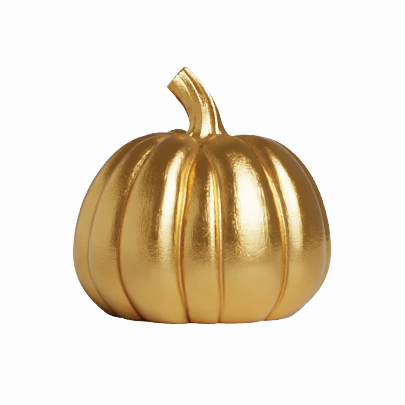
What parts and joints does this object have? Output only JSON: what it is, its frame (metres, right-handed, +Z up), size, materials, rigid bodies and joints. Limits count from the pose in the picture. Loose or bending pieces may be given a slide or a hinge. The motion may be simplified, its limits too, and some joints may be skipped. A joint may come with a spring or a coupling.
{
  "type": "ceramic pumpkin figure",
  "caption": "Free-standing hollow ceramic pumpkin with rounded lobes and a bent ribbed stem, finished in soft gold, for seasonal display.",
  "frame": {"origin": "on the table plane, under the middle of the body", "axes": "+Z up from the table; -Y is the front, with the narrow lobe; the stem bends towards -X"},
  "size_m": [0.1979, 0.1915, 0.1935],
  "materials": {
    "gold_glaze": "satin",
    "epoxy_bond": "matte",
    "felt": "matte"
  },
  "bodies": {
    "root": {"body_shell": "gold_glaze", "stem": "gold_glaze", "stem_bond": "epoxy_bond", "felt_pad_1": "felt", "felt_pad_2": "felt", "felt_pad_3": "felt", "felt_pad_4": "felt"}
  },
  "joints": []
}
